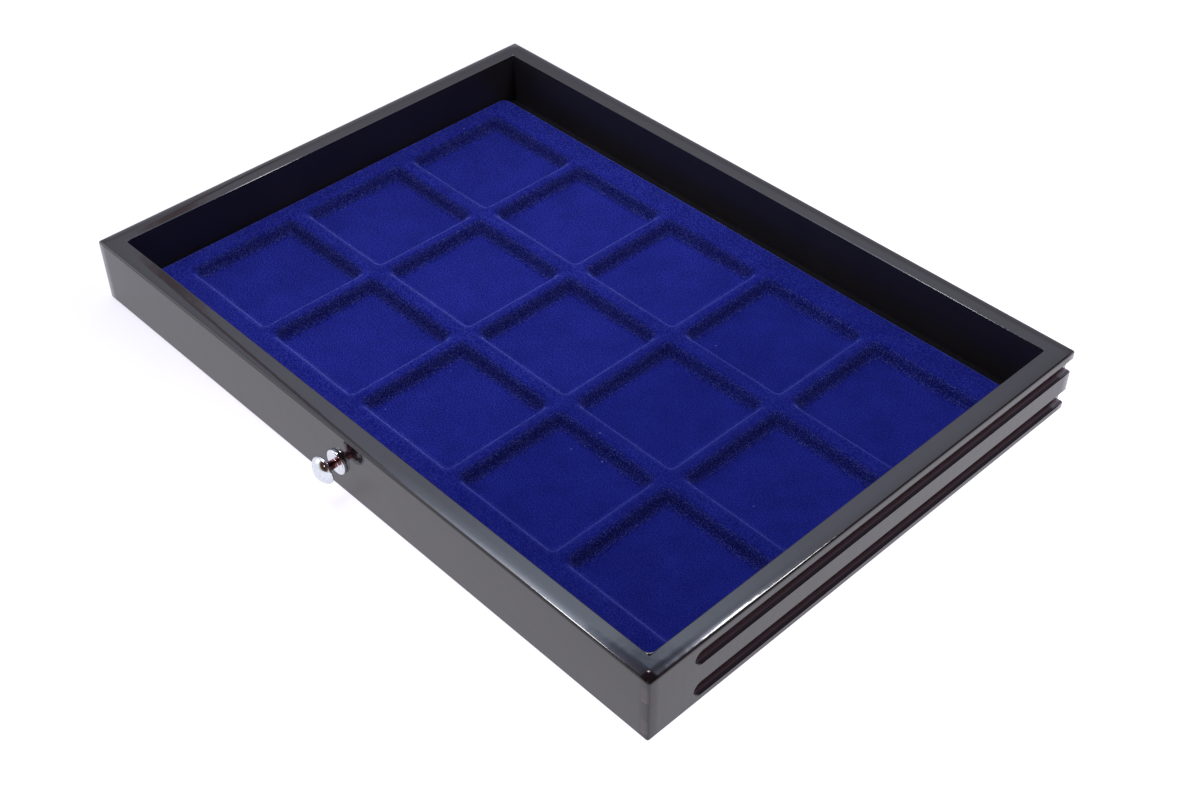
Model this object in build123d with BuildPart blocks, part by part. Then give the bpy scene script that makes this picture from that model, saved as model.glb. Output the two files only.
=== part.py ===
# Mineral specimen drawer: an open, lacquered wooden drawer for a collector's cabinet, with a
# thermoformed and flocked insert of fifteen square compartments and one small turned knob.
# Units are millimetres. X runs along the front from left to right, Y from the front to the back,
# Z up. The origin is the middle of the drawer's footprint, at the level of its lower rim.
from build123d import *
from math import cos, radians, sin
import os

# ---- wooden frame: outside sizes ----
frame_width = 300.0  # along the front
frame_depth = 216.0  # front face to back face, without the knob
frame_height = 27.5
wall = 8.0  # thickness of each of the four boards
edge_round = 0.9  # rounding of every outside edge under the lacquer
rim_round = 0.5  # rounding of the inner top edge

# ---- runner grooves in the two sides ----
groove_height = 6.0
groove_depth = 2.5
groove_front_stop = 20.0  # front face to the rounded end of each groove
lower_groove_z = 6.1  # middle of the lower groove above the rim
upper_groove_z = 20.9  # middle of the upper groove
groove_lip = 0.3  # broken edge along the groove mouths

# ---- bottom panel, held in a groove around the inside ----
bottom_thickness = 3.0
bottom_recess = 1.4  # lower rim to the underside of the panel
bottom_groove_depth = 3.0
bottom_end_clearance = 0.3  # lets the panel move in its groove with the seasons
bottom_face_clearance = 0.1

# ---- loose tongues that lock the mitres ----
tongue_width = 4.0  # across the mitre
tongue_thickness = 1.6
tongue_height = 19.0
tongue_inset = 3.6  # inside corner to the middle of the tongue, along the mitre
tongue_clearance = 0.1

# ---- flocked insert ----
columns = 5
rows = 3
insert_side_clearance = 1.0  # to each side of the frame
insert_end_gap = 7.0  # in front of and behind the insert, so that it can be lifted out
cell_depth = 4.0
cell_corner = 2.4  # plan radius at the mouth
cell_draft = 20.0  # degrees, each wall to the vertical
rib_between_columns = 4.0
rib_between_rows = 6.0
side_margin = 8.0  # flat border left and right of the compartments
end_margin = 12.0  # flat border in front of and behind them
sheet = 1.0  # formed sheet with its flock
lip_break = 1.2  # softened mouth edge of a compartment, along the border and along the wall
insert_corner = 4.0
shoulder_break = 1.0  # softened outer top edge of the insert

# ---- knob and its screw ----
knob_length = 9.9  # front face to the crown
knob_foot_radius = 4.9
knob_foot_thickness = 1.5
knob_neck_radius = 1.65
knob_neck_end = 5.0  # front face to the end of the straight neck
knob_head_back = 5.9  # front face to the back edge of the head
knob_head_bevel = 0.5
knob_head_radius = 5.4
screw_radius = 1.0
screw_fit = 0.03  # radial play in the knob's threaded hole, both drawn plain
screw_hole_clearance = 0.2  # radial play in the front board
screw_engagement = 4.0  # length of the screw inside the knob
screw_end_gap = 0.5
screw_point = 0.25  # chamfer at the tip
screw_head_radius = 2.0
screw_head_height = 1.6
screw_recess_length = 2.2
screw_recess_width = 0.6
screw_recess_depth = 0.9

# ---- sizes that follow ----
overrun = 1.0  # a cutter starts this far outside the wood
diagonal = 0.5**0.5
half_width = frame_width / 2
half_depth = frame_depth / 2
inner_width = frame_width - 2 * wall
inner_depth = frame_depth - 2 * wall
bottom_top = bottom_recess + bottom_thickness
tongue_foot = bottom_top + bottom_face_clearance + (
    frame_height - bottom_top - bottom_face_clearance - tongue_height
) / 2
insert_width = inner_width - 2 * insert_side_clearance
insert_depth = inner_depth - 2 * insert_end_gap
pitch_x = (insert_width - 2 * side_margin + rib_between_columns) / columns
pitch_y = (insert_depth - 2 * end_margin + rib_between_rows) / rows
cell_width = pitch_x - rib_between_columns  # mouth of a compartment, along the front
cell_length = pitch_y - rib_between_rows  # the same from front to back
insert_height = cell_depth + sheet
insert_top = bottom_top + insert_height
draft = radians(cell_draft)
# at the underside of the ribs the outside of a tray stands this far beyond its mouth
tray_skin = sheet * (1 - sin(draft)) / cos(draft)
knob_z = frame_height / 2
crown_rise = knob_length - knob_head_back - knob_head_bevel
crown_radius = (knob_head_radius**2 + crown_rise**2) / (2 * crown_rise)

os.makedirs("parts", exist_ok=True)

# The four boards are planed, moulded and grooved alike, so they are shaped as one ring and then
# cut apart at the mitres.
with BuildPart() as frame_ring:
    with BuildSketch():
        Rectangle(frame_width, frame_depth)
    extrude(amount=frame_height)
    fillet(frame_ring.edges().filter_by(Axis.Z), edge_round)
    fillet(frame_ring.faces().sort_by(Axis.Z)[-1].edges(), edge_round)
    fillet(frame_ring.faces().sort_by(Axis.Z)[0].edges(), edge_round)
    with BuildSketch():
        Rectangle(inner_width, inner_depth)
    extrude(amount=frame_height, mode=Mode.SUBTRACT)
    inner_rim = frame_ring.faces().sort_by(Axis.Z)[-1].inner_wires()[0].edges()
    fillet(inner_rim, rim_round)
    # groove for the bottom panel
    with BuildSketch(Plane.XY.offset(bottom_recess)):
        Rectangle(inner_width + 2 * bottom_groove_depth, inner_depth + 2 * bottom_groove_depth)
    extrude(amount=bottom_thickness + bottom_face_clearance, mode=Mode.SUBTRACT)
    # runner grooves, stopped behind the front and open at the back
    for side_plane in (
        Plane(origin=(half_width, 0, 0), x_dir=(0, 1, 0), z_dir=(1, 0, 0)),
        Plane(origin=(-half_width, 0, 0), x_dir=(0, -1, 0), z_dir=(-1, 0, 0)),
    ):
        toward_back = side_plane.x_dir.Y
        with BuildSketch(side_plane) as runner_mouths:
            for groove_z in (lower_groove_z, upper_groove_z):
                stop = toward_back * (-half_depth + groove_front_stop + groove_height / 2)
                end = toward_back * (half_depth + groove_height)
                with Locations(((stop + end) / 2, groove_z)):
                    SlotCenterToCenter(abs(end - stop), groove_height)
        extrude(amount=-groove_depth, mode=Mode.SUBTRACT)
        side_face = frame_ring.faces().filter_by(Plane.YZ).sort_by(Axis((0, 0, 0), side_plane.z_dir))[-1]
        groove_lips = side_face.edges().filter_by_position(
            Axis.Y, -half_depth + groove_front_stop - overrun, half_depth - edge_round - overrun
        )
        groove_lips = groove_lips.filter_by_position(
            Axis.Z, edge_round, frame_height - edge_round, inclusive=(False, False)
        )
        chamfer(groove_lips, groove_lip)
    # slots for the loose tongues
    for corner_x in (-1, 1):
        for corner_y in (-1, 1):
            slot_plane = Plane(
                origin=(
                    corner_x * (inner_width / 2 + tongue_inset * diagonal),
                    corner_y * (inner_depth / 2 + tongue_inset * diagonal),
                    tongue_foot - tongue_clearance,
                ),
                x_dir=(corner_x, -corner_y, 0),
            )
            with BuildSketch(slot_plane):
                Rectangle(tongue_width + 2 * tongue_clearance, tongue_thickness + 2 * tongue_clearance)
            extrude(amount=tongue_height + 2 * tongue_clearance, mode=Mode.SUBTRACT)
    # clearance hole for the knob's screw, through the front
    with BuildSketch(Plane(origin=(0, -half_depth - overrun, knob_z), z_dir=(0, 1, 0))):
        Circle(screw_radius + screw_hole_clearance)
    extrude(amount=wall + 2 * overrun, mode=Mode.SUBTRACT)

mitre_apex = half_width - half_depth  # the mitre planes meet above the long middle line

# Front board: carries the knob, mitred at both ends.
with BuildPart() as front_panel:
    add(frame_ring.part)
    with BuildSketch():
        with BuildLine():
            Polyline(
                (-half_width, -half_depth),
                (half_width, -half_depth),
                (mitre_apex, 0),
                (-mitre_apex, 0),
                close=True,
            )
        make_face()
    extrude(amount=frame_height, mode=Mode.INTERSECT)
front_panel.part.label = "front_panel"

# Back board: the runner grooves run out through its two ends.
with BuildPart() as back_panel:
    add(frame_ring.part)
    with BuildSketch():
        with BuildLine():
            Polyline(
                (half_width, half_depth),
                (-half_width, half_depth),
                (-mitre_apex, 0),
                (mitre_apex, 0),
                close=True,
            )
        make_face()
    extrude(amount=frame_height, mode=Mode.INTERSECT)
back_panel.part.label = "back_panel"

# Left side: two stopped runner grooves on its outer face.
with BuildPart() as left_side:
    add(frame_ring.part)
    with BuildSketch():
        with BuildLine():
            Polyline(
                (-half_width, half_depth),
                (-half_width, -half_depth),
                (-mitre_apex, 0),
                close=True,
            )
        make_face()
    extrude(amount=frame_height, mode=Mode.INTERSECT)
left_side.part.label = "left_side"

# Right side: the mirror image of the left side.
with BuildPart() as right_side:
    add(frame_ring.part)
    with BuildSketch():
        with BuildLine():
            Polyline(
                (half_width, -half_depth),
                (half_width, half_depth),
                (mitre_apex, 0),
                close=True,
            )
        make_face()
    extrude(amount=frame_height, mode=Mode.INTERSECT)
right_side.part.label = "right_side"

# Loose tongues: one plywood strip stands across each mitre, hidden in its slot.
with BuildPart() as corner_tongues:
    for corner_x in (-1, 1):
        for corner_y in (-1, 1):
            tongue_plane = Plane(
                origin=(
                    corner_x * (inner_width / 2 + tongue_inset * diagonal),
                    corner_y * (inner_depth / 2 + tongue_inset * diagonal),
                    tongue_foot,
                ),
                x_dir=(corner_x, -corner_y, 0),
            )
            with BuildSketch(tongue_plane):
                Rectangle(tongue_width, tongue_thickness)
            extrude(amount=tongue_height)
corner_tongues.part.label = "corner_tongues"

# Bottom panel: thin hardboard let into the groove around the inside of the frame.
with BuildPart() as bottom_panel:
    panel_reach = bottom_groove_depth - bottom_end_clearance
    with BuildSketch(Plane.XY.offset(bottom_recess)):
        Rectangle(inner_width + 2 * panel_reach, inner_depth + 2 * panel_reach)
    extrude(amount=bottom_thickness)
bottom_panel.part.label = "bottom_panel"

# Flocked insert: one thermoformed sheet. A border with a turned-down skirt carries fifteen
# drafted trays, whose floors and skirt stand on the bottom panel; the ribs are hollow below.
with BuildPart() as flocked_insert:
    with BuildSketch(Plane.XY.offset(bottom_top)):
        RectangleRounded(insert_width, insert_depth, insert_corner)
    extrude(amount=insert_height)
    chamfer(flocked_insert.faces().sort_by(Axis.Z)[-1].edges(), shoulder_break)
    with BuildSketch(Plane.XY.offset(bottom_top)):
        RectangleRounded(insert_width - 2 * sheet, insert_depth - 2 * sheet, insert_corner - sheet)
    extrude(amount=insert_height - sheet, mode=Mode.SUBTRACT)
    # trays, outside
    with BuildSketch(Plane.XY.offset(insert_top - sheet)):
        with GridLocations(pitch_x, pitch_y, columns, rows):
            Rectangle(cell_width + 2 * tray_skin, cell_length + 2 * tray_skin)
    extrude(amount=-cell_depth, taper=cell_draft)
    # trays, inside
    with BuildSketch(Plane.XY.offset(insert_top)):
        with GridLocations(pitch_x, pitch_y, columns, rows):
            RectangleRounded(cell_width, cell_length, cell_corner)
    extrude(amount=-cell_depth, taper=cell_draft, mode=Mode.SUBTRACT)
    mouths = flocked_insert.faces().sort_by(Axis.Z)[-1].inner_wires().edges()
    chamfer(mouths, lip_break)
flocked_insert.part.label = "flocked_insert"

# Knob: turned from one bar and chromed. A flat flanged foot, a straight thin neck and a domed head, tapped
# from the back for the screw.
with BuildPart() as cabinet_knob:
    turning_plane = Plane(origin=(0, -half_depth, knob_z), x_dir=(0, 0, 1), z_dir=(1, 0, 0))
    with BuildSketch(turning_plane):
        with BuildLine():
            Polyline(
                (0, knob_length),
                (0, 0),
                (knob_foot_radius, 0),
                (knob_foot_radius, knob_foot_thickness),
                (knob_neck_radius, knob_foot_thickness),
                (knob_neck_radius, knob_neck_end),
                (knob_head_radius - knob_head_bevel, knob_head_back),
                (knob_head_radius, knob_head_back + knob_head_bevel),
            )
            RadiusArc(
                (knob_head_radius, knob_head_back + knob_head_bevel),
                (0, knob_length),
                -crown_radius,
            )
        make_face()
    revolve(axis=Axis((0, -half_depth, knob_z), (0, -1, 0)))
    with BuildSketch(Plane(origin=(0, -half_depth, knob_z), z_dir=(0, -1, 0))):
        Circle(screw_radius + screw_fit)
    extrude(amount=screw_engagement + screw_end_gap, mode=Mode.SUBTRACT)
cabinet_knob.part.label = "cabinet_knob"

# Knob screw: a pan head machine screw put in from the inside of the drawer.
with BuildPart() as knob_screw:
    with BuildSketch(Plane(origin=(0, -half_depth + wall, knob_z), z_dir=(0, 1, 0))):
        Circle(screw_head_radius)
    extrude(amount=screw_head_height)
    with BuildSketch(Plane(origin=(0, -half_depth + wall, knob_z), z_dir=(0, -1, 0))):
        Circle(screw_radius)
    extrude(amount=wall + screw_engagement)
    chamfer(knob_screw.edges().sort_by(Axis.Y)[0], screw_point)
    driver_plane = Plane(origin=(0, -half_depth + wall + screw_head_height, knob_z), z_dir=(0, 1, 0))
    with BuildSketch(driver_plane):
        Rectangle(screw_recess_length, screw_recess_width)
        Rectangle(screw_recess_width, screw_recess_length)
    extrude(amount=-screw_recess_depth, mode=Mode.SUBTRACT)
knob_screw.part.label = "knob_screw"

export_step(front_panel.part, "parts/front_panel.step")
export_step(back_panel.part, "parts/back_panel.step")
export_step(left_side.part, "parts/left_side.step")
export_step(right_side.part, "parts/right_side.step")
export_step(corner_tongues.part, "parts/corner_tongues.step")
export_step(bottom_panel.part, "parts/bottom_panel.step")
export_step(flocked_insert.part, "parts/flocked_insert.step")
export_step(cabinet_knob.part, "parts/cabinet_knob.step")
export_step(knob_screw.part, "parts/knob_screw.step")
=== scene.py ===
import bmesh
import bpy
import numpy as np
from mathutils import Euler, Matrix, Vector


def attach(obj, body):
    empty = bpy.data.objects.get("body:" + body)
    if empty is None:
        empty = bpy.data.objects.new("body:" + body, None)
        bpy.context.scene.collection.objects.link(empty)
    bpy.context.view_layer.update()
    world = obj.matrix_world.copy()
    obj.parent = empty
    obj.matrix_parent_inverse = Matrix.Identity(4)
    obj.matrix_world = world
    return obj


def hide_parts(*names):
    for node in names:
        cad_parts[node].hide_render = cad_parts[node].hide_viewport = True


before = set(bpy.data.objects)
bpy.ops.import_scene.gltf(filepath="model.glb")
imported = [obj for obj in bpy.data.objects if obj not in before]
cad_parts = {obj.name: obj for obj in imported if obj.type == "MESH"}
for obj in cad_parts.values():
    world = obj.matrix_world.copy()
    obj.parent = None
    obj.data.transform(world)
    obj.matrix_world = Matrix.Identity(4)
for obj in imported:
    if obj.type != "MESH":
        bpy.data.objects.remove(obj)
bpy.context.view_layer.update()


# ---------------------------------------------------------------------------------------------
# Boards. Four lengths of close-grained hardwood, moulded and grooved on a spindle, mitred, glued
# round the bottom and sprayed with several coats of black polyester lacquer, flatted and buffed.
# The film stays a little uneven, with long soft waves and a fine orange peel over them.
# ---------------------------------------------------------------------------------------------
def new_finish(name):
    """An empty node material: returns (material, nodes, links, shader)."""
    finish = bpy.data.materials.new(name)
    finish.use_nodes = True
    nodes = finish.node_tree.nodes
    return finish, nodes, finish.node_tree.links, nodes["Principled BSDF"]


def object_noise(nodes, links, scale, detail=2.0, rough=0.5, stretch=(1, 1, 1)):
    """Noise laid on the piece's own coordinates, scale in waves per metre, drawn out by stretch."""
    where = nodes.new("ShaderNodeTexCoord")
    turn = nodes.new("ShaderNodeMapping")
    turn.inputs["Scale"].default_value = stretch
    noise = nodes.new("ShaderNodeTexNoise")
    noise.inputs["Scale"].default_value = scale
    noise.inputs["Detail"].default_value = detail
    noise.inputs["Roughness"].default_value = rough
    links.new(where.outputs["Object"], turn.inputs["Vector"])
    links.new(turn.outputs["Vector"], noise.inputs["Vector"])
    return noise.outputs["Fac"]


def add_bump(nodes, links, height, depth, under=None):
    """Relief on top of any relief below it: its height in metres is depth times the height given."""
    bump = nodes.new("ShaderNodeBump")
    bump.inputs["Distance"].default_value = depth
    bump.inputs["Strength"].default_value = 1.0
    links.new(height, bump.inputs["Height"])
    if under is not None:
        links.new(under, bump.inputs["Normal"])
    return bump.outputs["Normal"]


def ramp(nodes, links, value, stops):
    """A colour ramp over value, from (position, colour) stops."""
    node = nodes.new("ShaderNodeValToRGB")
    while len(node.color_ramp.elements) < len(stops):
        node.color_ramp.elements.new(0.5)
    for element, (position, colour) in zip(node.color_ramp.elements, stops):
        element.position = position
        element.color = (*colour, 1)
    links.new(value, node.inputs["Fac"])
    return node.outputs["Color"]


def coat(node, finish):
    """The finish in place of the plain one on a piece of the frame."""
    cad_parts[node].data.materials.clear()
    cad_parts[node].data.materials.append(finish)


def arithmetic(nodes, links, operation, first, second=None, third=None):
    """One math node; each operand is a number or another node's output."""
    node = nodes.new("ShaderNodeMath")
    node.operation = operation
    for socket, value in zip(node.inputs, (first, second, third)):
        if isinstance(value, (int, float)):
            socket.default_value = value
        elif value is not None:
            links.new(value, socket)
    return node.outputs["Value"]


def object_axes(nodes, links):
    """The piece's own x, y and z, in metres."""
    where = nodes.new("ShaderNodeTexCoord")
    split = nodes.new("ShaderNodeSeparateXYZ")
    links.new(where.outputs["Object"], split.inputs["Vector"])
    return split.outputs["X"], split.outputs["Y"], split.outputs["Z"]


def within(nodes, links, value, low, high):
    """One where low <= value <= high, else nought."""
    return arithmetic(nodes, links, "COMPARE", value, (low + high) / 2, (high - low) / 2)


def blended(nodes, links, share, first, second):
    """The first colour going over to the second as share goes from 0 to 1."""
    node = nodes.new("ShaderNodeMix")
    node.data_type = "RGBA"
    colour_a, colour_b, result = node.inputs[6], node.inputs[7], node.outputs[2]
    links.new(share, node.inputs[0])
    links.new(first, colour_a)
    links.new(second, colour_b)
    return result


frame_half = np.array([0.150, 0.108])
crown_reach = 0.0045
crown_radius = 0.017
groove_middles = (0.0061, 0.0209)
groove_half = 0.00305
groove_floor_x, groove_mouth_x = 0.1475, 0.1497
groove_depth = 0.0025
floor_margin = 0.0006
ledge_drop, ledge_band = 0.00295, 0.00015
inside_x, inside_y, inside_top = 0.1422, 0.1002, 0.0268
buffed_roughness = (0.04, 0.09)
satin_added = 0.40
lacquer_index = 1.52
knife_pitch = 0.00405
knife_depth = 0.0000030
knife_band = 0.003
wave_height, blob_height, peel_height = 0.00004, 0.000025, 0.000005


def knife_marks(nodes, links, x, y):
    """The cutter that runs the grooves leaves a ripple along the outer edge of each side board:
    with y the place along it, the height in metres is depth * sin(2 pi y / pitch), rising from
    nought 3 mm in to its whole at the outer face."""
    turn = arithmetic(nodes, links, "MULTIPLY", y, float(2 * np.pi / knife_pitch))
    ripple = arithmetic(nodes, links, "MULTIPLY", arithmetic(nodes, links, "SINE", turn), knife_depth)
    across = arithmetic(nodes, links, "ABSOLUTE", x)
    outward = arithmetic(nodes, links, "SUBTRACT", across, float(frame_half[0]) - knife_band)
    rising = arithmetic(nodes, links, "MULTIPLY", outward, 1 / knife_band)
    share = arithmetic(nodes, links, "MAXIMUM", rising, 0.0)
    return arithmetic(nodes, links, "MULTIPLY", ripple, share)


def film_crown(nodes, links, x, y):
    """The sprayed film draws back from the outer edges, so each board is slightly crowned: with
    a and b the distances past the start of the fall toward either edge, the height in metres is
    -(a * a + b * b) / (2 * radius)."""
    falls = []
    for value, half in zip((x, y), frame_half):
        reach = arithmetic(nodes, links, "ABSOLUTE", value)
        past = arithmetic(nodes, links, "SUBTRACT", reach, float(half - crown_reach))
        past = arithmetic(nodes, links, "MAXIMUM", past, 0.0)
        falls.append(arithmetic(nodes, links, "MULTIPLY", past, past))
    both = arithmetic(nodes, links, "ADD", *falls)
    return arithmetic(nodes, links, "MULTIPLY", both, -0.5 / crown_radius)


def black_lacquer():
    """Deep black with a whisper of brown, under a clear buffed film. In the runner grooves the coat is laid
    thinly and the brown of the wood comes through, and the lower ledge carries painted light, pale toward
    the groove's floor and dark and bluish toward the mouth. The inside isn't buffed: it stays satin."""
    finish, nodes, links, shader = new_finish("black_lacquer")
    x, y, z = object_axes(nodes, links)
    tone = object_noise(nodes, links, 60, 3, 0.6)
    black = ramp(nodes, links, tone, [(0.3, (0.0062, 0.0048, 0.0062)), (0.75, (0.0088, 0.0070, 0.0086))])
    bare = object_noise(nodes, links, 400, 4, 0.6, (1, 0.05, 1))
    brown = ramp(nodes, links, bare, [(0.3, (0.028, 0.018, 0.019)), (0.75, (0.056, 0.038, 0.038))])
    across = arithmetic(nodes, links, "ABSOLUTE", x)
    depth = within(nodes, links, across, groove_floor_x - floor_margin, groove_mouth_x)
    rows = [within(nodes, links, z, middle - groove_half, middle + groove_half) for middle in groove_middles]
    grooved = arithmetic(nodes, links, "MULTIPLY", depth, arithmetic(nodes, links, "ADD", *rows))
    ledges = [within(nodes, links, z, middle - ledge_drop - ledge_band, middle - ledge_drop + ledge_band)
              for middle in groove_middles]
    from_floor = arithmetic(nodes, links, "MULTIPLY_ADD", across, 1 / groove_depth,
                            -groove_floor_x / groove_depth)
    # painted light on the lower ledge of each groove: pale near the groove's floor, dark and bluish toward
    # the mouth
    ledge_painted_light = ramp(nodes, links, from_floor, [
        (0.05, (0.150, 0.105, 0.130)), (0.42, (0.160, 0.115, 0.140)), (0.60, (0.050, 0.040, 0.056)),
        (0.72, (0.030, 0.028, 0.044)), (0.90, (0.034, 0.034, 0.052)),
    ])
    # the brown of the wood in the grooves, with the painted light on the lower ledges
    wood = blended(nodes, links, arithmetic(nodes, links, "ADD", *ledges), brown, ledge_painted_light)
    links.new(blended(nodes, links, grooved, black, wood), shader.inputs["Base Color"])
    haze = object_noise(nodes, links, 35, 3, 0.6)
    spread = nodes.new("ShaderNodeMapRange")
    spread.inputs["From Min"].default_value = 0.3
    spread.inputs["From Max"].default_value = 0.75
    spread.inputs["To Min"].default_value, spread.inputs["To Max"].default_value = buffed_roughness
    links.new(haze, spread.inputs["Value"])
    between_sides = arithmetic(nodes, links, "LESS_THAN", across, inside_x)
    between_ends = arithmetic(nodes, links, "LESS_THAN", arithmetic(nodes, links, "ABSOLUTE", y), inside_y)
    below = arithmetic(nodes, links, "LESS_THAN", z, inside_top)
    inside = arithmetic(nodes, links, "MULTIPLY",
                        arithmetic(nodes, links, "MULTIPLY", between_sides, between_ends), below)
    roughness = arithmetic(nodes, links, "MULTIPLY_ADD", inside, satin_added, spread.outputs["Result"])
    links.new(roughness, shader.inputs["Roughness"])
    shader.inputs["IOR"].default_value = lacquer_index
    waves = object_noise(nodes, links, 55, 1, 0.4)
    ripple = object_noise(nodes, links, 210, 1, 0.4)
    peel = object_noise(nodes, links, 620, 2, 0.5)
    crown = add_bump(nodes, links, film_crown(nodes, links, x, y), 1.0)
    marks = add_bump(nodes, links, knife_marks(nodes, links, x, y), 1.0, under=crown)
    soft = add_bump(nodes, links, waves, wave_height, under=marks)
    blobs = add_bump(nodes, links, ripple, blob_height, under=soft)
    fine = add_bump(nodes, links, peel, peel_height, under=blobs)
    links.new(fine, shader.inputs["Normal"])
    return finish


lacquer = black_lacquer()
for board in ("front_panel", "back_panel", "left_side", "right_side"):
    coat(board, lacquer)


# ---------------------------------------------------------------------------------------------
# Corner pools. The lacquer runs together in the inner corners of the frame and sets there as a
# small concave fillet, biggest in the front right corner, with the rim rounded over it.
# ---------------------------------------------------------------------------------------------
opening_half = np.array([0.142, 0.100])
rim_top = 0.0275
rim_radius = 0.0005
bottom_face = 0.0044
film_step = 0.00002
point_merge = 0.000001
pool_corners = (  # radius, side along x, side along y
    (0.0028, 1, -1),
    (0.0011, -1, -1),
    (0.0007, 1, 1),
    (0.0007, -1, 1),
)


def ring_faces(rows, columns, start=0):
    """Quads between neighbouring rows of closed loops, rows * columns points from start."""
    row, column = np.meshgrid(np.arange(rows - 1), np.arange(columns), indexing="ij")
    beside = (column + 1) % columns
    quads = np.stack([row * columns + column, row * columns + beside,
                      (row + 1) * columns + beside, (row + 1) * columns + column], axis=-1)
    return quads.reshape(-1, 4) + start


def piece_from(name, points, faces, finish, merge=0.00001):
    """A mesh piece from arrays of points and faces, doubled points merged, shaded smooth."""
    mesh = bpy.data.meshes.new(name)
    mesh.from_pydata(points.tolist(), [], faces.tolist())
    mesh.update()
    piece = bpy.data.objects.new(name, mesh)
    bpy.context.scene.collection.objects.link(piece)
    work = bmesh.new()
    work.from_mesh(mesh)
    bmesh.ops.remove_doubles(work, verts=work.verts, dist=merge)
    bmesh.ops.dissolve_degenerate(work, edges=work.edges, dist=merge / 10)
    work.to_mesh(mesh)
    work.free()
    mesh.shade_smooth()
    mesh.materials.append(finish)
    return piece


def corner_pool(radius, side_x, side_y, turns=17, rim_steps=6):
    """Closed wedge between an inner corner and an arc of the radius. Each loop is one section,
    a ray from the arc's middle at angle a, up the wall at r = radius, over the rim by
    r = radius + rim (1 - cos t), z = top - rim (1 - sin t), out to the square corner, where
    r = (radius + rim) / max(cos a, sin a), and down inside the wood."""
    a = np.linspace(0, np.pi / 2, turns)[:, None]
    t = np.linspace(0, np.pi / 2, rim_steps)[None, :]
    reach = 1 / np.maximum(np.cos(a), np.sin(a))
    over = radius + rim_radius * (1 - np.cos(t)) + 0 * a
    over_z = rim_top + film_step - rim_radius * (1 - np.sin(t)) + 0 * a
    outer = film_step + np.concatenate(
        [(radius + rim_radius) * reach, radius * reach, radius * reach], axis=1)
    r = np.concatenate([radius + 0 * a, over, outer], axis=1)
    flat = np.zeros_like(a)
    z = np.concatenate([flat + bottom_face, over_z, flat + rim_top + film_step,
                        flat + rim_top - rim_radius, flat + bottom_face], axis=1)
    x = side_x * (opening_half[0] - radius + r * np.cos(a))
    y = side_y * (opening_half[1] - radius + r * np.sin(a))
    return np.stack([x, y, z], axis=-1).reshape(-1, 3), turns, r.shape[1]


def closed_wedge(points, rows, columns, start, flipped):
    """Side quads and the two end faces of a wedge, cut into fans, facing out."""
    sides = ring_faces(rows, columns, start)
    hub = np.arange(1, columns - 1)
    near = np.stack([0 * hub, hub + 1, hub, hub], axis=-1) + start
    far = np.stack([0 * hub, hub, hub + 1, hub + 1], axis=-1) + start + (rows - 1) * columns
    faces = np.concatenate([sides, near, far])
    return faces[:, ::-1] if flipped else faces


pool_points, pool_faces, pool_start = [], [], 0
for radius, side_x, side_y in pool_corners:
    wedge, rows, columns = corner_pool(radius, side_x, side_y)
    pool_points.append(wedge)
    pool_faces.append(closed_wedge(wedge, rows, columns, pool_start, side_x * side_y < 0))
    pool_start += len(wedge)
pools = piece_from("corner_pools", np.concatenate(pool_points), np.concatenate(pool_faces), lacquer,
                   merge=point_merge)
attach(pools, "drawer")


# ---------------------------------------------------------------------------------------------
# Tongues. Strips of birch plywood glued into slots across the mitres, out of sight once the
# drawer is together.
# ---------------------------------------------------------------------------------------------
ply_relief = 0.00005


def birch_ply():
    """Pale birch with thin darker glue lines, seen on the edge of the strip."""
    finish, nodes, links, shader = new_finish("birch_plywood")
    grain = object_noise(nodes, links, 900, 4, 0.6, (1, 1, 0.08))
    links.new(ramp(nodes, links, grain, [(0.25, (0.36, 0.22, 0.11)), (0.8, (0.58, 0.41, 0.24))]),
              shader.inputs["Base Color"])
    shader.inputs["Roughness"].default_value = 0.7
    links.new(add_bump(nodes, links, grain, ply_relief), shader.inputs["Normal"])
    return finish


coat("corner_tongues", birch_ply())


# ---------------------------------------------------------------------------------------------
# Bottom. Thin hardboard let into a groove round the boards before they are glued, stained black
# and given one thin coat, so that its pressed face still shows a fine mottle.
# ---------------------------------------------------------------------------------------------
fibre_relief = 0.00006


def stained_board():
    """Black stain on pressed fibre: a dull film with a mottle and small pits."""
    finish, nodes, links, shader = new_finish("black_stained_board")
    mottle = object_noise(nodes, links, 240, 5, 0.65)
    links.new(ramp(nodes, links, mottle, [(0.3, (0.0035, 0.003, 0.0045)), (0.8, (0.008, 0.007, 0.009))]),
              shader.inputs["Base Color"])
    shader.inputs["Roughness"].default_value = 0.6
    shader.inputs["Specular IOR Level"].default_value = 0.15
    fibres = object_noise(nodes, links, 1500, 4, 0.6, (1, 0.4, 1))
    links.new(add_bump(nodes, links, fibres, fibre_relief), shader.inputs["Normal"])
    return finish


coat("bottom_panel", stained_board())


# ---------------------------------------------------------------------------------------------
# Insert. One sheet of polystyrene, formed under vacuum over a block with fifteen square pads, trimmed along
# its turned-down skirt and flocked on top with short blue rayon fibre. It lies loose on the bottom, and its
# walls and edges are soft where the sheet was drawn out thinly.
# ---------------------------------------------------------------------------------------------
insert_columns, insert_rows = 5, 3
insert_pitch = np.array([0.054, 0.056])
insert_half = np.array([0.141, 0.093])
insert_foot = 0.0044
insert_top = 0.0094
sheet_thickness = 0.001
well_half = 0.02453
well_depth = 0.0046
well_corner = 0.0028
corner_fall = 0.35
wall_draft = np.radians(30)
lip_radius = 0.00375
foot_radius = 0.0037
wall_points = 9
floor_loops = 5
corner_reach = 0.0015
same_place = 1e-9
place_digits = 7
outer_corner = 0.004
outer_corner_points = 7
shoulder_radius = 0.0018
shoulder_points = 8
skirt_break = 0.003
wave_share = 0.00004
flat_from = insert_foot + 0.001
block_shift = np.array([0.0011, -0.00125])
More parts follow.
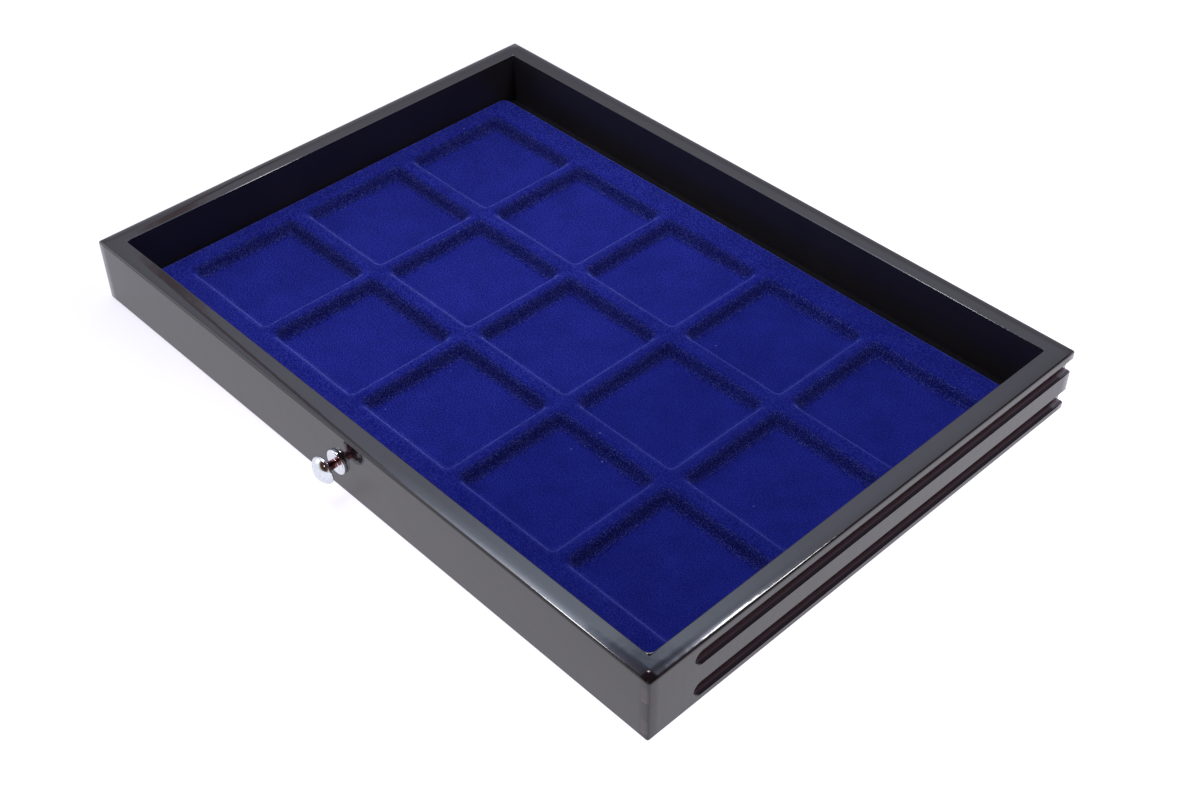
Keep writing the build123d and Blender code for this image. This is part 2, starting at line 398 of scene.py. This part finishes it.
# the way faced by the slopes that take painted shade
painted_shade_way = (0.707, -0.707, 0)
grain_gain = 2.0
# how far a slope must face the painted shade's way to take the dark specked colour, and that colour's share
shade_slope_limit = 0.24
painted_shade_share = 0.3
along_insert = (3.0, 0.5)  # x in metres to a share from left to right, by slope and offset
lint_per_metre = 62
lint_reach = 0.020
pile_depth = 0.00015


def sheet_wave(x, y):
    """The formed sheet isn't quite flat: h = sum of three long sine waves, 0.12 mm high in all."""
    return wave_share * (
        np.sin(31 * x + 17 * y + 0.6) + np.sin(-23 * x + 41 * y + 2.1) + np.sin(57 * x - 29 * y + 4.0)
    )


def drawn_wall():
    """Section of a wall, from the flat border down to the floor, as (inward, down) points:
    an arc of the lip radius turning through 90 - draft degrees, the drafted wall, and an arc of
    the foot radius back to level. With t = radius * tan((90 - draft) / 2), the arcs start t before
    each corner and end t after it."""
    turn = np.pi / 2 - wall_draft
    angle = np.linspace(0, turn, wall_points)
    lip_start = -lip_radius * np.tan(turn / 2)
    lip_in = lip_start + lip_radius * np.sin(angle)
    lip_down = lip_radius * (1 - np.cos(angle))
    foot_end = well_depth * np.tan(wall_draft) + foot_radius * np.tan(turn / 2)
    foot_in = foot_end - foot_radius * np.sin(angle[::-1])
    foot_down = well_depth - foot_radius * (1 - np.cos(angle[::-1]))
    return np.concatenate([lip_in, foot_in]), np.concatenate([lip_down, foot_down])


def square_loop(half, radius, per_side=8, per_corner=6):
    """Closed loop round a square with rounded corners, for arrays of half and radius (n, 1):
    each quarter is a straight from -(half - radius) to half - radius at distance half, then an
    arc of the radius; the other quarters are the same turned by 90 degrees."""
    along = np.linspace(-1, 1, per_side + 1)[None, :]
    straight_x = np.broadcast_to(half, (half.shape[0], per_side + 1))
    straight_y = (half - radius) * along
    sweep = np.linspace(0, np.pi / 2, per_corner + 1)[None, 1:-1]
    arc_x = (half - radius) + radius * np.cos(sweep)
    arc_y = (half - radius) + radius * np.sin(sweep)
    quarter_x = np.concatenate([straight_x, arc_x], axis=1)
    quarter_y = np.concatenate([straight_y, arc_y], axis=1)
    xs = [quarter_x, -quarter_y, -quarter_x, quarter_y]
    ys = [quarter_y, quarter_x, -quarter_y, -quarter_x]
    return np.concatenate(xs, axis=1), np.concatenate(ys, axis=1)


def tray_wall():
    """Loops of one compartment's wall from the flat border down to the floor: P(u, v), with u the
    place along the wall's section and v the place round the square. The plan radius falls with
    the inward distance q: radius = corner - fall * q."""
    inward, down = drawn_wall()
    half = (well_half - inward)[:, None]
    radius = (well_corner - corner_fall * inward)[:, None]
    xs, ys = square_loop(half, radius)
    return xs, ys, insert_top - down[:, None] + np.zeros_like(xs)


def tile_edge(xs, ys):
    """The outermost loop pushed out to the tile's edge: each point goes straight out to the side
    that it faces, and corner points to the tile's own corner."""
    half = insert_pitch / 2
    reach = np.max(np.abs(np.stack([xs, ys])), axis=0)
    side_x = np.abs(xs) >= reach - same_place
    side_y = np.abs(ys) >= reach - same_place
    flat = well_half - well_corner + corner_reach
    x = np.where(side_x | (np.abs(xs) > flat), np.sign(xs) * half[0], xs)
    y = np.where(side_y | (np.abs(ys) > flat), np.sign(ys) * half[1], ys)
    return x, y


def flocked_sheet():
    """The whole formed sheet: fifteen compartments, the border round them and the skirt. The
    forming block sat a little off the middle of the sheet, by the block shift."""
    xs, ys, zs = tray_wall()
    edge_x, edge_y = tile_edge(xs[:1], ys[:1])
    floor = np.linspace(1, 0, floor_loops + 1)[1:, None]
    floor_x = xs[-1:] * floor
    floor_y = ys[-1:] * floor
    floor_z = np.full_like(floor_x, insert_top - well_depth)
    cell_x = np.concatenate([edge_x, xs, floor_x])
    cell_y = np.concatenate([edge_y, ys, floor_y])
    cell_z = np.concatenate([np.full_like(edge_x, insert_top), zs, floor_z])
    rows, around = cell_x.shape
    column, row = np.meshgrid(np.arange(insert_columns), np.arange(insert_rows))
    middle_x = (column.ravel() - (insert_columns - 1) / 2) * insert_pitch[0]
    middle_y = (row.ravel() - (insert_rows - 1) / 2) * insert_pitch[1]
    all_x = cell_x[None] + middle_x[:, None, None] + block_shift[0]
    all_y = cell_y[None] + middle_y[:, None, None] + block_shift[1]
    all_z = np.broadcast_to(cell_z, all_x.shape)
    points = np.stack([all_x, all_y, all_z], axis=-1).reshape(-1, 3)
    faces = np.concatenate([ring_faces(rows, around, k * rows * around) for k in range(len(middle_x))])

    # border, shoulder and skirt: loops that share the pattern's outline with the tiles
    pattern = insert_pitch * [insert_columns, insert_rows] / 2
    side = np.unique(np.round(edge_x, place_digits))
    up = np.unique(np.round(edge_y, place_digits))
    line_x = np.unique(np.round(side[None] + middle_x[:, None], place_digits))
    line_y = np.unique(np.round(up[None] + middle_y[:, None], place_digits))
    corner = outer_corner_points
    in_x = np.concatenate([np.full(len(line_y), pattern[0]), np.full(corner, pattern[0]),
                           line_x[::-1], np.full(corner, -pattern[0])])
    in_y = np.concatenate([line_y, np.full(corner, pattern[1]),
                           np.full(len(line_x), pattern[1]), np.full(corner, pattern[1])])
    in_x = np.concatenate([in_x, -in_x])
    in_y = np.concatenate([in_y, -in_y])
    sweep = np.linspace(0, np.pi / 2, corner + 2)[1:-1]

    def border_loop(grow):
        """The insert's outline moved out by grow, with one point for each of the pattern's."""
        half = insert_half + grow
        radius = outer_corner + grow
        flat = half - radius
        x = np.concatenate([np.full(len(line_y), half[0]), flat[0] + radius * np.cos(sweep),
                            line_x[::-1] / pattern[0] * flat[0], -flat[0] - radius * np.sin(sweep)])
        y = np.concatenate([line_y / pattern[1] * flat[1], flat[1] + radius * np.sin(sweep),
                            np.full(len(line_x), half[1]), flat[1] + radius * np.cos(sweep)])
        return np.concatenate([x, -x]), np.concatenate([y, -y])

    # the shoulder's arc, the skirt down to its foot, its lower edge, and its inner face back up
    angle = np.linspace(0, np.pi / 2, shoulder_points)
    outs = np.concatenate([shoulder_radius * (np.sin(angle) - 1), [0, 0], [-sheet_thickness] * 2])
    downs = np.concatenate([shoulder_radius * (1 - np.cos(angle)), [skirt_break, insert_top - insert_foot],
                            [insert_top - insert_foot, sheet_thickness]])
    loops = [(in_x + block_shift[0], in_y + block_shift[1], np.full_like(in_x, insert_top))]
    for out, down in zip(outs, downs):
        x, y = border_loop(out)
        loops.append((x, y, np.full_like(x, insert_top - down)))
    border = np.stack([np.stack(loop, axis=-1) for loop in loops])
    start = len(points)
    border_rows, border_around = border.shape[:2]
    points = np.concatenate([points, border.reshape(-1, 3)])
    faces = np.concatenate([faces, ring_faces(border_rows, border_around, start)[:, ::-1]])
    return points, faces


def combined(nodes, links, blend_type, first, second):
    """Two colours multiplied or added, channel by channel."""
    node = nodes.new("ShaderNodeMix")
    node.data_type = "RGBA"
    node.blend_type = blend_type
    node.clamp_result = False
    node.inputs[0].default_value = 1.0
    links.new(first, node.inputs[6])
    links.new(second, node.inputs[7])
    return node.outputs[2]


def blue_flock():
    """Short blue fibre standing on the sheet. Its random grain runs to painted glints under half a
    millimetre across, finer to the right. In the colour and the sheen tint, painted shade darkens slopes
    that face the front right, the steeper of them also darkened with pale specks, and painted light
    brightens slopes turned to the back left; both weaken toward the right. A painted falloff of light,
    brightest left of the middle, darkens it toward the right. It carries specks of lint."""
    finish, nodes, links, shader = new_finish("blue_flock")
    patches = object_noise(nodes, links, 90, 3, 0.6)
    tufts = object_noise(nodes, links, 2300, 1.5, 0.7)
    x, _, _ = object_axes(nodes, links)
    place = arithmetic(nodes, links, "MULTIPLY_ADD", x, *along_insert)
    coarse = ramp(nodes, links, place, [
        (0.25, (1, 1, 1)), (0.50, (0.9, 0.9, 0.9)), (0.63, (0.5, 0.5, 0.5)),
    ])
    off_middle = arithmetic(nodes, links, "SUBTRACT", tufts, 0.5)
    spread = arithmetic(nodes, links, "MULTIPLY", off_middle, coarse)
    grain = arithmetic(nodes, links, "MULTIPLY_ADD", spread, grain_gain, 0.5)
    pile = ramp(nodes, links, patches, [(0.35, (0.0047, 0.0070, 0.104)), (0.65, (0.0062, 0.0092, 0.128))])
    # random grain whose bright, whitish end is painted glints in the base colour
    painted_glint = ramp(nodes, links, grain, [
        (0.34, (0.42, 0.50, 0.80)), (0.50, (0.95, 0.96, 0.99)), (0.66, (2.7, 2.3, 1.30)),
    ])
    grained = combined(nodes, links, "MULTIPLY", pile, painted_glint)
    # painted shade for the steeper slopes that face the front right: dark, with pale specks
    painted_shade_specks = ramp(nodes, links, tufts, [
        (0.42, (0.0025, 0.0032, 0.030)), (0.55, (0.0060, 0.0075, 0.070)), (0.63, (0.0900, 0.1000, 0.240)),
    ])
    facing = nodes.new("ShaderNodeTexCoord")
    shade_facing = nodes.new("ShaderNodeVectorMath")
    shade_facing.operation = "DOT_PRODUCT"
    shade_facing.inputs[1].default_value = painted_shade_way
    links.new(facing.outputs["Normal"], shade_facing.inputs[0])
    # strength of the painted side light and shade, weaker toward the right
    side_shade_strength = ramp(nodes, links, place, [
        (0.50, (1, 1, 1)), (0.64, (0.35, 0.35, 0.35)), (0.90, (0.25, 0.25, 0.25)),
    ])
    shade_facing_part = arithmetic(nodes, links, "MULTIPLY", shade_facing.outputs["Value"], side_shade_strength)
    slope = arithmetic(nodes, links, "MULTIPLY_ADD", shade_facing_part, 0.5, 0.5)
    # painted light and shade by facing: slopes toward the back left lighter, slopes toward the front right
    # darker
    painted_side_light_and_shade = ramp(nodes, links, slope, [
        (0.20, (1.45, 1.40, 1.25)), (0.33, (1.15, 1.13, 1.10)), (0.46, (1.0, 1.0, 1.0)),
        (0.53, (1.0, 1.0, 1.0)), (0.57, (0.97, 0.97, 0.96)), (0.62, (0.92, 0.91, 0.89)),
        (0.68, (0.84, 0.82, 0.79)), (0.74, (0.79, 0.77, 0.73)), (0.84, (0.76, 0.74, 0.70)),
    ])
    # painted falloff of light across the insert: brightest left of the middle, darker toward the right
    painted_falloff = ramp(nodes, links, place, [
        (0.08, (0.95, 0.95, 0.95)), (0.18, (0.97, 0.97, 0.97)), (0.34, (1.03, 1.04, 1.05)),
        (0.50, (0.98, 0.985, 1.0)), (0.62, (0.86, 0.88, 0.89)), (0.80, (0.86, 0.87, 0.865)),
    ])
    painted_falloff_and_side_shade = combined(nodes, links, "MULTIPLY", painted_falloff, painted_side_light_and_shade)
    shaded_slope = arithmetic(nodes, links, "GREATER_THAN", shade_facing.outputs["Value"], shade_slope_limit)
    painted_shade_mix = arithmetic(nodes, links, "MULTIPLY", shaded_slope, painted_shade_share)
    specked = blended(nodes, links, painted_shade_mix, grained, painted_shade_specks)
    fibre = combined(nodes, links, "MULTIPLY", specked, painted_falloff_and_side_shade)
    tips = ramp(nodes, links, grain, [
        (0.34, (0.06, 0.09, 0.51)), (0.50, (0.125, 0.16, 0.60)), (0.66, (0.36, 0.40, 0.80)),
    ])
    links.new(combined(nodes, links, "MULTIPLY", tips, painted_falloff_and_side_shade), shader.inputs["Sheen Tint"])
    cells = nodes.new("ShaderNodeTexVoronoi")
    cells.inputs["Scale"].default_value = lint_per_metre
    cells.inputs["Randomness"].default_value = 1.0
    links.new(facing.outputs["Object"], cells.inputs["Vector"])
    speck = arithmetic(nodes, links, "LESS_THAN", cells.outputs["Distance"], lint_reach)
    lint = ramp(nodes, links, tufts, [(0.3, (0.05, 0.06, 0.16)), (0.7, (0.11, 0.13, 0.26))])
    links.new(blended(nodes, links, speck, fibre, lint), shader.inputs["Base Color"])
    shader.inputs["Roughness"].default_value = 0.95
    shader.inputs["Specular IOR Level"].default_value = 0.02
    shader.inputs["Sheen Weight"].default_value = 1.0
    shader.inputs["Sheen Roughness"].default_value = 0.35
    links.new(add_bump(nodes, links, tufts, pile_depth), shader.inputs["Normal"])
    return finish


sheet_points, sheet_faces = flocked_sheet()
flat_top = sheet_points[:, 2] > flat_from
sheet_points[:, 2] += np.where(flat_top, sheet_wave(sheet_points[:, 0], sheet_points[:, 1]), 0)
insert = piece_from("flocked_tray", sheet_points, sheet_faces, blue_flock())
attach(insert, "insert")
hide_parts("flocked_insert")


# ---------------------------------------------------------------------------------------------
# Knob. Turned from brass bar in one chucking: flat flanged foot, straight neck, domed head with a
# soft rim, polished and chromed. It is drawn tight to the front by its screw.
# ---------------------------------------------------------------------------------------------
knob_axis_z = 0.01375
knob_face_y = -0.108
neck_front_y, neck_back_y = -0.1136, -0.1097
mop_relief = 0.000002
knob_merge = 0.000002


def knob_section():
    """Turned profile as (radius, distance from the front): a flat flange with a softened edge,
    a straight neck, a flare to the back of the head, a rounded rim and a domed crown. It is
    drawn in millimetres and given back in metres."""
    def bend(start, end, start_way, end_way, count):
        """Cubic curve P(t) from start to end, leaving and arriving along the given ways."""
        t = np.linspace(0, 1, count)[:, None]
        start, end, start_way, end_way = map(np.array, (start, end, start_way, end_way))
        return ((2 * t**3 - 3 * t**2 + 1) * start + (t**3 - 2 * t**2 + t) * start_way
                + (3 * t**2 - 2 * t**3) * end + (t**3 - t**2) * end_way)

    parts = [
        np.array([[0.0, 0.0], [4.75, 0.0], [4.87, 0.1], [4.9, 0.25]]),
        bend((4.9, 1.1), (4.5, 1.5), (0, 0.55), (-0.55, 0.0), 6),
        np.array([[4.4, 1.502], [3.4, 1.503], [2.4, 1.504], [1.95, 1.505]]),
        bend((1.85, 1.51), (1.65, 1.75), (-0.3, 0.0), (0, 0.3), 5),
        np.array([[1.65, 1.8], [1.65, 3.0], [1.65, 4.4]]),
        bend((1.65, 4.5), (4.75, 5.86), (0, 1.6), (4.0, 0.2), 14),
        bend((4.8, 5.87), (5.4, 6.45), (0.9, 0.05), (0, 0.9), 8),
        bend((5.4, 6.5), (0.0, 9.9), (0, 4.4), (-7.6, 0), 24),
    ]
    return np.concatenate(parts) / 1000


def turned(section, around=96):
    """Surface of revolution about the knob's axis: P(s, a) = (r(s) cos a, face - h(s),
    axis + r(s) sin a)."""
    a = np.linspace(0, 2 * np.pi, around, endpoint=False)
    x = section[:, :1] * np.cos(a)
    z = section[:, :1] * np.sin(a) + knob_axis_z
    y = knob_face_y - section[:, 1:] + np.zeros_like(x)
    return np.stack([x, y, z], axis=-1).reshape(-1, 3), ring_faces(len(section), around)


def chrome_plate():
    """Bright chrome over buffed brass, with the faintest swirl left by the mop. The neck's colour is dark
    and reddish, a painted dark reflection."""
    finish, nodes, links, shader = new_finish("polished_chrome")
    swirl = object_noise(nodes, links, 700, 2, 0.5, (1, 6, 1))
    _, y, _ = object_axes(nodes, links)
    neck = within(nodes, links, y, neck_front_y, neck_back_y)
    bright = ramp(nodes, links, swirl, [(0.3, (0.60, 0.63, 0.66)), (0.7, (0.70, 0.73, 0.76))])
    # painted dark reddish reflection in the neck's colour
    painted_dark_reflection = ramp(nodes, links, swirl, [(0.3, (0.17, 0.055, 0.065)), (0.7, (0.26, 0.095, 0.105))])
    links.new(blended(nodes, links, neck, bright, painted_dark_reflection), shader.inputs["Base Color"])
    shader.inputs["Metallic"].default_value = 1.0
    shader.inputs["Roughness"].default_value = 0.05
    links.new(add_bump(nodes, links, swirl, mop_relief), shader.inputs["Normal"])
    return finish


knob = piece_from("turned_knob", *turned(knob_section()), chrome_plate(), merge=knob_merge)
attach(knob, "drawer")
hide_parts("cabinet_knob")


# ---------------------------------------------------------------------------------------------
# Knob screw. A pan head machine screw of zinc-plated steel. It goes in from inside the drawer,
# through the front board, and draws the knob tight.
# ---------------------------------------------------------------------------------------------
turning_relief = 0.00001


def zinc_plate():
    """Dull bright zinc with fine turning marks."""
    finish, nodes, links, shader = new_finish("zinc_plated_steel")
    marks = object_noise(nodes, links, 2500, 3, 0.6, (1, 8, 1))
    links.new(ramp(nodes, links, marks, [(0.3, (0.42, 0.42, 0.43)), (0.7, (0.62, 0.61, 0.60))]),
              shader.inputs["Base Color"])
    shader.inputs["Metallic"].default_value = 1.0
    shader.inputs["Roughness"].default_value = 0.32
    links.new(add_bump(nodes, links, marks, turning_relief), shader.inputs["Normal"])
    return finish


coat("knob_screw", zinc_plate())


# ---------------------------------------------------------------------------------------------
# Studio. A white tent: a table that glows a little, a fabric ceiling lit by two strip lamps at the
# edges of its square opening, and a room that is dark in front and to the right, with two small
# lamps, one up in front and one nearly overhead, for the small lights on the knob.
# ---------------------------------------------------------------------------------------------
table_half = 3
along_table = (2.0, 0.5)  # x in metres to a share of the half metre round the drawer
table_mesh = bpy.data.meshes.new("table")
table_mesh.from_pydata([(x * table_half, y * table_half, 0) for x, y in (
    (-1, -1), (1, -1), (1, 1), (-1, 1),
)], [], [(0, 1, 2, 3)])
table = bpy.data.objects.new("table", table_mesh)
bpy.context.scene.collection.objects.link(table)
table_finish, table_nodes, table_links, table_shader = new_finish("white_table")
table_shader.inputs["Base Color"].default_value = (0.22, 0.22, 0.22, 1)
table_shader.inputs["Roughness"].default_value = 0.9
table_x, _, _ = object_axes(table_nodes, table_links)
table_place = arithmetic(table_nodes, table_links, "MULTIPLY_ADD", table_x, *along_table)
table_glow = ramp(table_nodes, table_links, table_place, [
    (0.00, (0.92, 0.90, 0.99)), (0.14, (0.68, 0.67, 0.74)), (0.30, (0.75, 0.735, 0.81)),
    (0.50, (0.88, 0.86, 0.95)), (0.70, (0.96, 0.94, 1.04)), (0.82, (1.03, 1.01, 1.11)),
])
table_links.new(table_glow, table_shader.inputs["Emission Color"])
table_shader.inputs["Emission Strength"].default_value = 1.0
table_mesh.materials.append(table_finish)

ceiling_height = 0.45
ceiling_glow_at = (-0.12, 0.10, ceiling_height)
left_halo_at = (-0.130, -0.110, ceiling_height)
back_halo_at = (0.088, 0.170, ceiling_height)
left_lamp_ends = ((-0.132, -0.078), (-0.104, -0.259))
back_lamp_ends = ((0.088, 0.170), (0.312, 0.266))
lamp_width = 0.045
lamp_radiance = 32
lamp_drop = 0.002
opening_left, opening_back = -0.115, 0.161
past_opening = (5.0, 0.5)  # metres inside the opening's edge to a share, by slope and offset
ceiling_left, ceiling_right, ceiling_front, ceiling_back = -1.2, 0.5, -0.28, 1.2
brown_bar_at, brown_bar_way = -0.2187, (0.5525, 0.8335)
ceiling_strength = 10


def spot(nodes, links, place, stops):
    """Colour by the distance in metres from a place on the ceiling. The stops give the radiance,
    and the colour is that radiance shared by the ceiling's strength."""
    where = nodes.new("ShaderNodeTexCoord")
    span = nodes.new("ShaderNodeVectorMath")
    span.operation = "DISTANCE"
    span.inputs[1].default_value = place
    links.new(where.outputs["Object"], span.inputs[0])
    return ramp(nodes, links, span.outputs["Value"], [
        (distance, tuple(level / ceiling_strength for level in colour)) for distance, colour in stops
    ])


def lit_fabric():
    """White fabric, brightest near the two lamps, with the dark square opening and a brown bar
    across its front left. The radiance falls with the distance from the middle of the glow."""
    finish, nodes, links, shader = new_finish("lit_fabric")
    x, y, _ = object_axes(nodes, links)
    glow = spot(nodes, links, ceiling_glow_at, [
        (0.00, (2.45, 2.72, 3.35)), (0.07, (2.2, 2.50, 3.05)), (0.12, (1.90, 2.12, 2.60)),
        (0.20, (1.42, 1.52, 1.85)), (0.28, (1.30, 1.36, 1.66)), (0.35, (1.22, 1.26, 1.52)),
        (0.42, (1.06, 1.08, 1.30)), (0.50, (1.00, 1.02, 1.20)), (0.60, (0.86, 0.86, 0.98)),
        (0.68, (0.72, 0.72, 0.84)), (0.78, (0.60, 0.59, 0.70)), (1.00, (0.55, 0.54, 0.64)),
    ])
    left_halo = spot(nodes, links, left_halo_at, [
        (0.00, (7.6, 8.0, 8.9)), (0.05, (6.4, 6.8, 7.7)), (0.075, (4.4, 4.7, 5.4)),
        (0.11, (2.2, 2.4, 2.9)), (0.16, (0.5, 0.6, 0.8)), (0.22, (0.15, 0.2, 0.25)),
        (0.30, (0, 0, 0)),
    ])
    back_halo = spot(nodes, links, back_halo_at, [
        (0.00, (7.6, 8.0, 9.0)), (0.03, (2.8, 3.0, 3.6)), (0.05, (0.6, 0.7, 0.9)), (0.09, (0, 0, 0)),
    ])
    from_left = arithmetic(nodes, links, "SUBTRACT", x, opening_left)
    from_back = arithmetic(nodes, links, "SUBTRACT", opening_back, y)
    inside = arithmetic(nodes, links, "MINIMUM", from_left, from_back)
    depth = arithmetic(nodes, links, "MULTIPLY_ADD", inside, *past_opening)
    opening = ramp(nodes, links, depth, [
        (0.47, (1, 1, 1)), (0.553, (0.60, 0.61, 0.66)), (0.59, (0.33, 0.34, 0.38)),
        (0.65, (0.24, 0.24, 0.28)), (0.80, (0.13, 0.11, 0.12)), (0.98, (0.05, 0.025, 0.028)),
    ])
    across_x = arithmetic(nodes, links, "MULTIPLY", x, brown_bar_way[0])
    across_y = arithmetic(nodes, links, "MULTIPLY_ADD", y, brown_bar_way[1], -brown_bar_at)
    across = arithmetic(nodes, links, "ABSOLUTE", arithmetic(nodes, links, "ADD", across_x, across_y))
    bar = ramp(nodes, links, across, [(0.010, (0.50, 0.40, 0.36)), (0.029, (1, 1, 1))])
    near = combined(nodes, links, "MULTIPLY", combined(nodes, links, "ADD", glow, left_halo), bar)
    lit = combined(nodes, links, "ADD", combined(nodes, links, "MULTIPLY", near, opening), back_halo)
    shader.inputs["Base Color"].default_value = (0, 0, 0, 1)
    shader.inputs["Specular IOR Level"].default_value = 0
    links.new(lit, shader.inputs["Emission Color"])
    shader.inputs["Emission Strength"].default_value = ceiling_strength
    return finish


ceiling_mesh = bpy.data.meshes.new("tent_ceiling")
ceiling_mesh.from_pydata([(x, y, ceiling_height) for x, y in (
    (ceiling_left, ceiling_front), (ceiling_left, ceiling_back),
    (ceiling_right, ceiling_back), (ceiling_right, ceiling_front),
)], [], [(0, 1, 2, 3)])
ceiling = bpy.data.objects.new("tent_ceiling", ceiling_mesh)
bpy.context.scene.collection.objects.link(ceiling)
ceiling_mesh.materials.append(lit_fabric())
ceiling.visible_camera = False

back_left_way = (-0.70, 0.70, 0.10)
dark_front_way = (0.19, -0.745, 0.64)
dark_right_way = (0.85, 0.30, 0.42)
lit_left_way = (-0.78, -0.50, 0.36)
room_bulb_way = (-0.03, 0.37, 0.928)
room_strength = 1.2


def round_glow(nodes, links, sight, way, stops):
    """Colour by the angle in degrees between a line of sight and a fixed way in the room."""
    dot = nodes.new("ShaderNodeVectorMath")
    dot.operation = "DOT_PRODUCT"
    dot.inputs[1].default_value = Vector(way).normalized()
    links.new(sight, dot.inputs[0])
    angle = arithmetic(nodes, links, "ARCCOSINE", dot.outputs["Value"])
    share = arithmetic(nodes, links, "DIVIDE", angle, float(np.pi))
    return ramp(nodes, links, share, [(degrees / 180, colour) for degrees, colour in stops])


surround = bpy.data.worlds.new("studio_room")
surround.use_nodes = True
room_nodes, room_links = surround.node_tree.nodes, surround.node_tree.links
sight = room_nodes.new("ShaderNodeTexCoord").outputs["Generated"]
walls = round_glow(room_nodes, room_links, sight, back_left_way, [
    (0, (0.56, 0.56, 0.60)), (40, (0.58, 0.58, 0.62)), (80, (0.90, 0.90, 0.94)),
    (110, (0.95, 0.97, 1.0)),
])
dark_front = round_glow(room_nodes, room_links, sight, dark_front_way, [
    (0, (0.10, 0.045, 0.03)), (24, (0.06, 0.03, 0.022)), (34, (0.12, 0.08, 0.07)),
    (44, (0.75, 0.74, 0.74)), (52, (1.0, 1.0, 1.0)),
])
dark_right = round_glow(room_nodes, room_links, sight, dark_right_way, [
    (0, (0.12, 0.05, 0.045)), (30, (0.16, 0.08, 0.075)), (46, (0.9, 0.88, 0.88)),
    (54, (1.0, 1.0, 1.0)),
])
lit_left = round_glow(room_nodes, room_links, sight, lit_left_way, [
    (0, (2.1, 2.1, 2.2)), (14, (1.9, 1.9, 2.0)), (21, (1.0, 1.0, 1.0)),
])
room = walls
for part in (dark_front, dark_right, lit_left):
    room = combined(room_nodes, room_links, "MULTIPLY", room, part)
room_links.new(room, room_nodes["Background"].inputs["Color"])
room_nodes["Background"].inputs["Strength"].default_value = room_strength
bpy.context.scene.world = surround


def strip_lamp(name, ends, width, radiance):
    """A lamp between two places just under the ceiling, facing down. With the power p and the
    area a its radiance is p / (pi * a)."""
    start, end = map(np.array, ends)
    data = bpy.data.lights.new(name, "AREA")
    data.shape = "RECTANGLE"
    data.size, data.size_y = float(np.hypot(*(end - start))), width
    data.energy = radiance * np.pi * data.size * data.size_y
    lamp = bpy.data.objects.new(name, data)
    lamp.location = (*((start + end) / 2), ceiling_height - lamp_drop)
    lamp.rotation_euler = (0, 0, float(np.arctan2(*(end - start)[::-1])))
    bpy.context.scene.collection.objects.link(lamp)


def small_lamp(name, toward, distance, size, radiance, tint):
    """A small square lamp at a distance along a way from the drawer, facing it."""
    toward = Vector(toward).normalized()
    data = bpy.data.lights.new(name, "AREA")
    data.size = size
    data.energy = radiance * np.pi * size**2
    data.color = tint
    lamp = bpy.data.objects.new(name, data)
    lamp.location = toward * distance + Vector((0, knob_face_y, knob_axis_z))
    lamp.rotation_euler = toward.to_track_quat("Z", "Y").to_euler()
    bpy.context.scene.collection.objects.link(lamp)


strip_lamp("left_strip", left_lamp_ends, lamp_width, lamp_radiance)
strip_lamp("back_strip", back_lamp_ends, lamp_width, lamp_radiance)
small_lamp("flash", dark_front_way, distance=0.62, size=0.05, radiance=8, tint=(1, 0.95, 0.9))
small_lamp("room_bulb", room_bulb_way, distance=0.44, size=0.03, radiance=12, tint=(1, 0.85, 0.85))

camera_place = Vector((0.360833, -0.330659, 0.414350))
camera_turn = Euler(np.radians((48.0283, 0.0600, 46.0375)))
camera_lens, camera_width = 50.287, 36
camera_data = bpy.data.cameras.new("camera")
camera_data.sensor_fit = "HORIZONTAL"
camera_data.sensor_width = camera_width
camera_data.lens = camera_lens
camera = bpy.data.objects.new("camera", camera_data)
camera.matrix_world = Matrix.LocRotScale(camera_place, camera_turn, None)
bpy.context.scene.collection.objects.link(camera)
bpy.context.scene.camera = camera
bpy.context.scene.view_settings.view_transform = "Standard"
